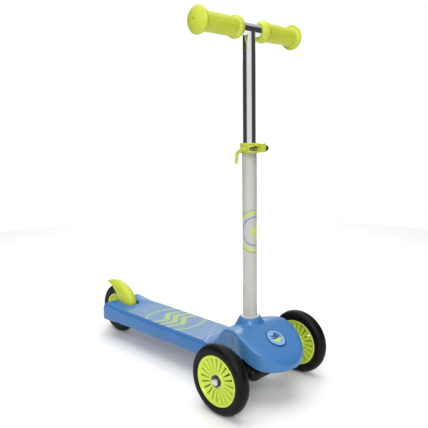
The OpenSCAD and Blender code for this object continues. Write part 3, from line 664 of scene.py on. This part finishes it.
class DeckShape:
    """The deck's outline, in millimetres from the stem's axis and the floor."""

    front = 6
    half_width = 47
    corner = 17
    tail = 417
    slot_front = 336.5
    slot_half = 17
    past_tail = 440
    # above this height the slot starts further back, under the brake
    skin_low = 74.0
    skin_back = 345.6
    top_line = ((0, 75), (340, 75), (352, 75.6), (364, 77.2), (376, 79), (388, 80), (394, 80), (399, 78.6),
                (404, 74.6), (408, 68.5), (412, 62.5), (415, 58), (416.6, 54), (417, 51.5))
    low_line = ((0, 48), (352, 43.2), (376, 41.2), (400, 40), (407, 40.2), (411, 41.6), (414, 43.8),
                (416.2, 46.6), (417, 49.5))

    def half(self, y):
        """Half width: full along the sides, rounded at the tail."""
        back = max(0, y - (self.tail - self.corner))
        return self.half_width - self.corner + math.sqrt(max(0, self.corner ** 2 - back ** 2))

    def section(self, y, round_top):
        """One cross-section: top corners well rounded, lower corners just broken."""
        half, top, low = self.half(y), along(self.top_line, y), along(self.low_line, y)
        big = min(round_top, (top - low) * 0.48)
        small = min(1.8, (top - low) * 0.2)
        half = max(half, big + 1)
        points = arc(half - big, top - big, big, 0, 90, 7) + arc(big - half, top - big, big, 90, 180, 7)
        points += arc(small - half, low + small, small, 180, 270, 3)
        points += arc(half - small, low + small, small, 270, 360, 3)
        return [Vector((x * MM, STEM.y + y * MM, z * MM)) for x, z in points]


def box_cutter(x0, x1, y0, y1, z0, z1, bevel=0.0):
    """A box in millimetres from the stem's axis, with rounded upright edges."""
    deselect()
    bpy.ops.mesh.primitive_cube_add(size=1, location=(0, 0, 0))
    box = bpy.context.active_object
    for vertex in box.data.vertices:
        sx, sy, sz = (c + 0.5 for c in vertex.co)
        vertex.co = (lerp(x0, x1, sx) * MM, lerp(y0, y1, sy) * MM + STEM.y, lerp(z0, z1, sz) * MM)
    if bevel:
        bpy.ops.object.mode_set(mode="EDIT")
        bpy.ops.mesh.select_all(action="DESELECT")
        bpy.context.tool_settings.mesh_select_mode = (False, True, False)
        mesh = bmesh.from_edit_mesh(box.data)
        for edge in mesh.edges:
            ends = [vertex.co for vertex in edge.verts]
            edge.select_set(abs(ends[0].z - ends[1].z) > 1e-6)
        bmesh.update_edit_mesh(box.data)
        bpy.ops.mesh.bevel(offset=bevel * MM, segments=4, affect="EDGES")
        bpy.ops.object.mode_set(mode="OBJECT")
        bpy.context.tool_settings.mesh_select_mode = (True, False, False)
    return box


def pin_cutter(x, y, z0, z1, radius):
    """An upright pin in millimetres from the stem's axis."""
    deselect()
    bpy.ops.mesh.primitive_cylinder_add(vertices=32, radius=radius * MM, depth=(z1 - z0) * MM,
                                        location=(x * MM, STEM.y + y * MM, (z0 + z1) / 2 * MM))
    return at_origin(bpy.context.active_object)


def joined(objects):
    deselect()
    for obj in objects:
        obj.select_set(True)
    bpy.context.view_layer.objects.active = objects[0]
    bpy.ops.object.join()
    return bpy.context.active_object


class SCOOTER_OT_deck(bpy.types.Operator):
    """Model the deck: one moulding with soft edges, a slot for the rear wheel and ribbed pockets below"""

    bl_idname = "scooter.deck"
    bl_label = "Deck"

    def execute(self, context):
        shape = DeckShape()
        edge = context.scene.scooter_sizes.edge_round / MM
        places = [shape.front, 60, 150, 240, 330, 401.5, 406, 410, 413.6] + [y for y, _ in shape.top_line[2:]]
        body = loft([shape.section(y, edge) for y in sorted(places)], "deck_moulding", closed_ends=True)
        merge(body)
        boolean(body, joined(self.cutters(shape)))
        boolean(body, box_cutter(-shape.slot_half, shape.slot_half, shape.skin_back, shape.past_tail,
                                 shape.skin_low - 1, 100, 14))
        apply_modifier(body, "soft_edges", "BEVEL", width=0.7 * MM, segments=2, limit_method="ANGLE",
                       angle_limit=math.radians(50), use_clamp_overlap=True)
        smooth(body, 30)
        piece(body, "deck_moulding", "deck_blue", "frame", "deck_blue", "deck")
        return {"FINISHED"}

    def cutters(self, shape):
        below = 30
        cutters = [box_cutter(-shape.slot_half, shape.slot_half, shape.slot_front, shape.past_tail, below,
                              shape.skin_low, 3)]
        first, last, rib, wall = 66, 322, 4, 4
        count = 7
        pitch = (last - first) / count
        wide = (2 * shape.half_width - 3 * wall) / 2
        for i in range(count):
            for x0 in (-rib / 2 - wide, rib / 2):
                y0 = first + i * pitch
                cutters.append(box_cutter(x0, x0 + wide, y0, y0 + pitch - rib, below, 70, 3))
        for side in (-1, 1):
            x0, x1 = sorted((side * 20.5, side * 42.5))
            cutters.append(box_cutter(x0, x1, 380.5, 412.5, below, 45, 2))
            cutters.append(pin_cutter(side * 38, 36, below, 69, 4.5))
        return cutters


# ------------------------------------------------------------------ wheels


def wheel_names(side):
    return f"tyre_{side}", f"rim_{side}", f"wheel_{side}"


class SCOOTER_OT_wheels(bpy.types.Operator):
    """Model the three wheels: cast tyres on moulded rims with a ring of tapered slits"""

    bl_idname = "scooter.wheels"
    bl_label = "Wheels"

    def execute(self, context):
        vanes = context.scene.scooter_sizes.rim_vanes
        for side in ("left", "right", "rear"):
            tyre_node, rim_node, body = wheel_names(side)
            centre = middle(tyre_node)
            outer = half_span(tyre_node, 2)
            inner = half_span(rim_node, 2)
            wide = low_high(tyre_node, 0)[1] - low_high(tyre_node, 0)[0]
            tyre = spun(self.tyre_profile(outer, inner, wide), centre, (1, 0, 0), 128)
            smooth(tyre, 40)
            piece(tyre, f"tyre_ring_{side}", "tyre_black", body, "tyre_black", tyre_node)
            rim = self.rim(centre, inner, low_high(rim_node, 0)[1] - centre.x, vanes)
            piece(rim, f"rim_vaned_{side}", "rim_lime", body, "lime_rim", rim_node)
        return {"FINISHED"}

    def tyre_profile(self, outer, inner, wide):
        """Round tread that flattens on its sides and ends in a bead on the rim."""
        half, crown = wide / 2, 9.5 * MM
        tread = [(half * math.sin(a), outer - crown + crown * math.cos(a))
                 for a in (math.radians(d) for d in range(-78, 79, 6))]
        bead = inner + 1.6 * MM
        left = [(-half * 0.995, inner + 4.5 * MM), (-half * 0.985, bead), (-half + 1.4 * MM, inner)]
        right = [(-x, r) for x, r in reversed(left)]
        return left[::-1] + tread + right[::-1]

    def rim(self, centre, outer, half, vanes):
        bore, barrel = 11 * MM, 9 * MM
        lip = bore + 4 * MM
        face = [(barrel, bore), (barrel, bore + 0.8 * MM), (barrel + 1.5 * MM, bore + 0.9 * MM),
                (barrel + 1.6 * MM, lip - 0.8 * MM), (barrel + 1.0 * MM, lip),
                (barrel - 0.8 * MM, lip + 0.8 * MM),
                (half - 2.6 * MM, outer - 5.2 * MM), (half - 1.6 * MM, outer - 4.6 * MM),
                (half - 0.2 * MM, outer - 3.4 * MM), (half, outer - 2.6 * MM), (half, outer - 1.0 * MM),
                (half - 0.5 * MM, outer)]
        profile = [(-x, r) for x, r in face] + face[::-1]
        rim = spun(profile, centre, (1, 0, 0), 120)
        boolean(rim, joined([self.slit(centre, lip + 2 * MM, outer - 5.6 * MM, i * math.tau / vanes)
                             for i in range(vanes)]))
        apply_modifier(rim, "soft_edges", "BEVEL", width=0.5 * MM, segments=2, limit_method="ANGLE",
                       angle_limit=math.radians(42), use_clamp_overlap=True)
        smooth(rim, 30)
        return rim

    def slit(self, centre, start, end, turn):
        """A wedge that cuts one slit through the rim, wider towards its edge."""
        deselect()
        bpy.ops.mesh.primitive_cube_add(size=1, location=(0, 0, 0))
        wedge = bpy.context.active_object
        for vertex in wedge.data.vertices:
            sx, sy, sz = (c + 0.5 for c in vertex.co)
            width = lerp(1.3, 4.2, sz) * MM
            place = Vector((lerp(-20, 20, sx) * MM, (sy - 0.5) * width, lerp(start, end, sz)))
            vertex.co = centre + Matrix.Rotation(turn, 3, "X") @ place
        return wedge


# ------------------------------------------------------------------ grips


class SCOOTER_OT_grips(bpy.types.Operator):
    """Model the two grips: flange, body with rows of raised ovals, and a rounded bumper at the end"""

    bl_idname = "scooter.grips"
    bl_label = "Grips"

    def execute(self, context):
        sizes = context.scene.scooter_sizes
        for side, sign in (("left", 1), ("right", -1)):
            grip = loft(self.rings(sign, sizes.grip_rows, sizes.grip_bumps), "grip")
            self.close(grip)
            merge(grip)
            smooth(grip, 45)
            piece(grip, f"grip_sleeve_{side}", "grip_lime", "handlebar", "lime_grip", f"grip_{side}")
        return {"FINISHED"}

    body_r = 15.7
    bump_height = 0.5

    def profile(self):
        """(distance from the bar's middle, radius) in millimetres, inner end first."""
        start, end = GRIP_START / MM, GRIP_END / MM
        line = [(start + 1.5, 11.15), (start, 11.4), (start, 13.2), (start + 0.7, 14.0), (start + 3.4, 15.8),
                (start + 7.0, 18.2), (start + 8.2, 18.9), (start + 9.4, 19.0), (start + 12.2, 19.0),
                (start + 13.4, 18.5), (start + 14.0, 17.3), (start + 14.6, 16.2), (start + 15.6, 15.75)]
        body_start, body_end = start + 17, end - 15.6
        steps = 92
        line += [(lerp(body_start, body_end, i / steps), self.body_r) for i in range(steps + 1)]
        line += [(end - 14.6, 16.0), (end - 13.6, 17.0), (end - 12.9, 18.8), (end - 12.4, 20.4)]
        line += [(end - 10.0 + 2.6 * math.sin(math.radians(a)), 19.9 + 2.6 * math.cos(math.radians(a)))
                 for a in (-60, -35, -10, 15, 40)]
        line += [(end - 7.6 * (r / 21.6) ** 2.3, r) for r in (20.6, 18.5, 16, 13, 10, 7, 4, 2.2, 1.7)]
        line += [(end - 1.2, 1.3), (end - 3.5, 1.3)]
        return line, body_start, body_end

    def rings(self, sign, rows, bumps):
        line, body_start, body_end = self.profile()
        count = 112
        rings = []
        for along_bar, radius in line:
            ring = []
            for i in range(count):
                turn = math.tau * i / count
                lift = self.bump(along_bar, turn, body_start, body_end, rows, bumps)
                r = radius + lift
                ring.append(Vector((sign * along_bar * MM, STEM.y + r * math.cos(turn) * MM,
                                    BAR_Z + r * math.sin(turn) * MM)))
            rings.append(ring)
        return rings

    def bump(self, along_bar, turn, body_start, body_end, rows, bumps):
        """Height of the raised ovals, every other row shifted by half a step."""
        pitch = (body_end - body_start) / bumps
        row = turn / math.tau * rows
        nearest = round(row)
        shift = 0.5 if nearest % 2 else 0.0
        step = (along_bar - body_start) / pitch - 0.5 - shift
        if not -0.5 < step < bumps - 0.5 or not body_start < along_bar < body_end:
            return 0.0
        across = (row - nearest) * math.tau * self.body_r / rows / 1.7
        lengthwise = (step - round(step)) * pitch / 2.9
        inside = 1 - across ** 2 - lengthwise ** 2
        return self.bump_height * smoothstep(0, 0.7, inside) if inside > 0 else 0.0

    def close(self, grip):
        """Closes the vent at the outer end; the inner end stays open round the bar."""
        activate(grip)
        bpy.ops.object.mode_set(mode="EDIT")
        bpy.ops.mesh.select_all(action="DESELECT")
        bpy.ops.mesh.select_non_manifold()
        mesh = bmesh.from_edit_mesh(grip.data)
        for vertex in mesh.verts:
            if abs(vertex.co.x) < GRIP_END - 8 * MM:
                vertex.select_set(False)
        mesh.select_flush(False)
        bpy.ops.mesh.edge_face_add()
        bpy.ops.object.mode_set(mode="OBJECT")


# ------------------------------------------------------------------ clamp and truck


class SCOOTER_OT_clamp(bpy.types.Operator):
    """Model the clamp: a collar with a window on its bolt, a hooked lever, and a nut with a domed cap"""

    bl_idname = "scooter.clamp"
    bl_label = "Clamp"

    voxel = 0.4 * MM
    # the collar stands a little lower and taller than its plain solid
    drop = 0.8 * MM
    stretch = 1.24
    window = (-16.5, -3, -30, -17, 431.6, 439.2)
    cap_r = 5.25 * MM

    def execute(self, context):
        collar = from_node("clamp_collar", "clamp_band")
        low = low_high("clamp_collar", 2)[0]
        for vertex in collar.data.vertices:
            vertex.co.z = low - self.drop + (vertex.co.z - low) * self.stretch
        boolean(collar, box_cutter(*self.window))
        soften(collar, self.voxel, 10)
        piece(collar, "clamp_band", "lime_plastic", "frame", "lime_plastic", "clamp_collar")
        lever = from_node("clamp_lever", "clamp_hook")
        soften(lever, self.voxel, 12)
        piece(lever, "clamp_hook", "lime_plastic", "lever", "lime_plastic", "clamp_lever")
        nut = middle("clamp_nut")
        start, end = low_high("clamp_nut", 0)
        dome = [(start - nut.x, 0), (start - nut.x, self.cap_r)]
        dome += [(end - nut.x - self.cap_r + self.cap_r * math.sin(a), self.cap_r * math.cos(a))
                 for a in (math.radians(d) for d in range(0, 91, 10))]
        cap = spun(dome, nut, (1, 0, 0), 48)
        smooth(cap, 40)
        piece(cap, "clamp_cap", "black_plastic", "frame", "black_plastic", "clamp_nut")
        return {"FINISHED"}


class SCOOTER_OT_truck(bpy.types.Operator):
    """Model the truck: the casting under the head cover, with every edge rounded"""

    bl_idname = "scooter.truck"
    bl_label = "Truck"

    def execute(self, context):
        truck = from_node("truck", "truck_casting")
        soften(truck, 0.9 * MM, 8)
        piece(truck, "truck_casting", "black_plastic", "truck", "black_plastic", "truck")
        return {"FINISHED"}


# ------------------------------------------------------------------ brake


class SCOOTER_OT_brake(bpy.types.Operator):
    """Model the brake: a domed horn that narrows to a rounded tip, with knuckles round its pin"""

    bl_idname = "scooter.brake"
    bl_label = "Brake"

    # (place along Y, height) of the horn's middle line and of its side edge, and its half width, row by row
    ridge = ((350.5, 70), (349.5, 75), (350, 81), (353, 89), (360, 98.6), (370, 107.4), (383, 114.4),
             (397, 118.6), (411, 120), (425, 119.2), (436, 117.4), (443.5, 115.2), (448, 113))
    edge = ((383, 69), (384.5, 71.5), (386.3, 75), (388.5, 80), (391.5, 85), (395.5, 91), (400.5, 97),
            (406.5, 101.8), (413, 106), (420, 109.8), (429, 112), (438, 112.4), (446, 111.4))
    half = (15.6, 15.6, 15.6, 15.5, 15.4, 15.2, 14.9, 14.4, 13.6, 12.6, 11.2, 9.0, 5.5)
    wall = 2.3 * MM

    def execute(self, context):
        shell = loft(self.rings(), "brake_horn", strip=True)
        merge(shell)
        apply_modifier(shell, "smooth_path", "SUBSURF", levels=1, render_levels=1)
        apply_modifier(shell, "wall", "SOLIDIFY", thickness=self.wall, offset=-1.0, use_even_offset=True)
        pin = middle("brake_pin")
        horn = joined([shell] + [self.knuckle(side, pin) for side in (-1, 1)])
        smooth(horn, 40)
        piece(horn, "brake_horn", "lime_plastic", "brake", "lime_plastic", "brake_fender")
        return {"FINISHED"}

    def knuckle(self, side, pin):
        """A short sleeve round the pin on one side."""
        near, far, bore, outer = side * 6.6 * MM, side * 14.6 * MM, 2.6 * MM, 4.7 * MM
        return spun([(near, bore), (near, outer), (far, outer), (far, bore)], pin, (1, 0, 0), 48)

    def rings(self, count=28):
        rings = []
        for (ry, rz), (ey, ez), half in zip(self.ridge, self.edge, self.half):
            ring = []
            for i in range(count + 1):
                turn = math.pi * i / count
                x = half * math.copysign(abs(math.cos(turn)) ** 0.85, math.cos(turn))
                rise = math.sin(turn) ** 0.88
                ring.append(Vector((x * MM, lerp(ey, ry, rise) * MM + STEM.y, lerp(ez, rz, rise) * MM)))
            rings.append(ring)
        return rings


# ------------------------------------------------------------------ camera, light and floor


class SCOOTER_OT_stage(bpy.types.Operator):
    """Set the camera, the soft studio light and the pale floor"""

    bl_idname = "scooter.stage"
    bl_label = "Stage"

    # yaw, pitch and roll of the view, in degrees, and the eye's place from the stem
    view_turn = (43.487, -7.716, -0.5355)
    eye = (-0.6985, -0.6118, 0.4681)
    # name, place, diameter and power
    lamps = (("key", (-1.6, -1.5, 1.5), 1.0, 24), ("top", (0, 0.1, 2.4), 2.6, 34),
             ("rim", (1.6, 1.5, 1.3), 1.0, 7))
    lamp_aim = (0, 0, 0.2)
    floor_r = 1.7

    def execute(self, context):
        self.camera(context.scene)
        self.lights()
        self.floor()
        self.world(context.scene)
        return {"FINISHED"}

    def camera(self, scene):
        data = bpy.data.cameras.new("camera")
        data.sensor_width = 36
        data.lens = 44.65
        data.shift_x = -0.0344
        data.shift_y = -0.0297
        data.clip_start = 0.01
        camera = bpy.data.objects.new("camera", data)
        scene.collection.objects.link(camera)
        yaw, pitch, roll = (math.radians(a) for a in self.view_turn)
        forward = Vector((math.cos(yaw) * math.cos(pitch), math.sin(yaw) * math.cos(pitch), math.sin(pitch)))
        right = Vector((math.sin(yaw), -math.cos(yaw), 0))
        up = right.cross(forward)
        side = math.cos(roll) * right + math.sin(roll) * up
        head = -math.sin(roll) * right + math.cos(roll) * up
        turn = Matrix((side, head, -forward)).transposed().to_4x4()
        camera.matrix_world = Matrix.Translation((self.eye[0], STEM.y + self.eye[1], self.eye[2])) @ turn
        scene.camera = camera

    def lights(self):
        for name, place, size, power in self.lamps:
            data = bpy.data.lights.new(name, "AREA")
            data.shape = "DISK"
            data.size = size
            data.energy = power
            lamp = bpy.data.objects.new(name, data)
            bpy.context.scene.collection.objects.link(lamp)
            lamp.location = place
            lamp.rotation_euler = (Vector(self.lamp_aim) - Vector(place)).to_track_quat("-Z", "Y").to_euler()

    def floor(self):
        deselect()
        bpy.ops.mesh.primitive_circle_add(vertices=96, radius=self.floor_r, fill_type="NGON",
                                          location=(0, 0, 0))
        floor = bpy.context.active_object
        floor.name = "floor"
        f = Finish("floor_paper", (0.93, 0.93, 0.93), 0.8, specular=0.1)
        f.paint(f.tint(0.01, 2))
        wear(floor, "floor_paper")

    def world(self, scene):
        """White all round for the eye; the gloss also sees the studio's dark sides."""
        scene.view_settings.view_transform = "Standard"
        world = bpy.data.worlds.new("studio")
        world.use_nodes = True
        scene.world = world
        n = Nodes(world.node_tree)
        x, y, z = n.parts(n.node("ShaderNodeTexCoord").outputs["Generated"])
        front = math.radians(223.5)
        ahead = n.math("ADD", n.math("MULTIPLY", x, math.cos(front)), n.math("MULTIPLY", y, math.sin(front)))
        level = n.math("SQRT", n.math("ADD", n.math("MULTIPLY", x, x), n.math("MULTIPLY", y, y)))
        facing = n.math("DIVIDE", ahead, n.math("MAXIMUM", level, 0.001))
        dark = 0.06
        before = n.ramp(facing, 0.62, 0.80, dark, 0.85)
        behind = n.ramp(facing, -0.88, -0.95, dark, 0.8)
        light = n.math("MAXIMUM", n.math("MAXIMUM", before, behind), n.ramp(z, 0.45, 0.65, dark, 0.6))
        seen = n.node("ShaderNodeLightPath").outputs["Is Camera Ray"]
        n.link(n.math("MAXIMUM", light, seen), world.node_tree.nodes["Background"].inputs["Strength"])
        world.node_tree.nodes["Background"].inputs["Color"].default_value = (1, 1, 1, 1)


# ------------------------------------------------------------------ finishes on the frame's own nodes

NODE_FINISH = {
    "deck": "deck_blue", "grip_sheet": "pad_print", "head_bracket": "black_plastic",
    "stem_ring": "pale_ring", "outer_tube": "tube_paint", "clamp_collar": "lime_plastic",
    "clamp_nut": "black_plastic", "clamp_washer": "black_plastic", "clamp_lever": "lime_plastic",
    "t_bar": "bright_chrome", "tube_bush": "black_plastic",
    "grip_left": "grip_lime", "grip_right": "grip_lime",
    "truck": "black_plastic", "axle_inserts": "turned_brass", "cushion_upper": "cushion_rubber",
    "cushion_lower": "cushion_rubber", "rear_caps": "deck_blue", "brake_fender": "lime_plastic",
    "head_cover": "hood_blue",
    # painted shade: the wheel washers wear near-black steel so the hub recess round the bolt head reads dark
    "washers_left": "recess_shade_steel", "washers_right": "recess_shade_steel", "rear_washers": "recess_shade_steel",
    "tyre_left": "tyre_black", "tyre_right": "tyre_black", "tyre_rear": "tyre_black",
    "rim_left": "rim_lime", "rim_right": "rim_lime", "rim_rear": "rim_lime",
}


class SCOOTER_OT_finishes(bpy.types.Operator):
    """Make every finish and give the frame's own nodes theirs"""

    bl_idname = "scooter.finishes"
    bl_label = "Finishes"

    def execute(self, context):
        make_materials(context.scene)
        for name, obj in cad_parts.items():
            wear(obj, NODE_FINISH.get(name, "zinc_steel"))
        return {"FINISHED"}


class SCOOTER_PT_panel(bpy.types.Panel):
    """Lists what the add-on makes"""

    bl_idname = "SCOOTER_PT_panel"
    bl_label = "Kick scooter"
    bl_space_type = "VIEW_3D"
    bl_region_type = "UI"
    bl_category = "Scooter"

    def draw(self, context):
        for settings in (context.scene.scooter_sizes, context.scene.scooter_colours):
            for name in settings.__annotations__:
                self.layout.prop(settings, name)
        for operator in OPERATORS:
            self.layout.operator(operator.bl_idname)


OPERATORS = (SCOOTER_OT_stage, SCOOTER_OT_finishes, SCOOTER_OT_hood, SCOOTER_OT_badge, SCOOTER_OT_deck,
             SCOOTER_OT_wheels, SCOOTER_OT_grips, SCOOTER_OT_clamp, SCOOTER_OT_truck, SCOOTER_OT_brake)
CLASSES = (ScooterSizes, ScooterColours, *OPERATORS, SCOOTER_PT_panel)


def register():
    for cls in CLASSES:
        bpy.utils.register_class(cls)
    bpy.types.Scene.scooter_sizes = bpy.props.PointerProperty(type=ScooterSizes)
    bpy.types.Scene.scooter_colours = bpy.props.PointerProperty(type=ScooterColours)


def unregister():
    del bpy.types.Scene.scooter_colours
    del bpy.types.Scene.scooter_sizes
    for cls in reversed(CLASSES):
        bpy.utils.unregister_class(cls)


def main():
    register()
    for operator in OPERATORS:
        group, name = operator.bl_idname.split(".")
        getattr(getattr(bpy.ops, group), name)()


if __name__ == "__main__":
    main()
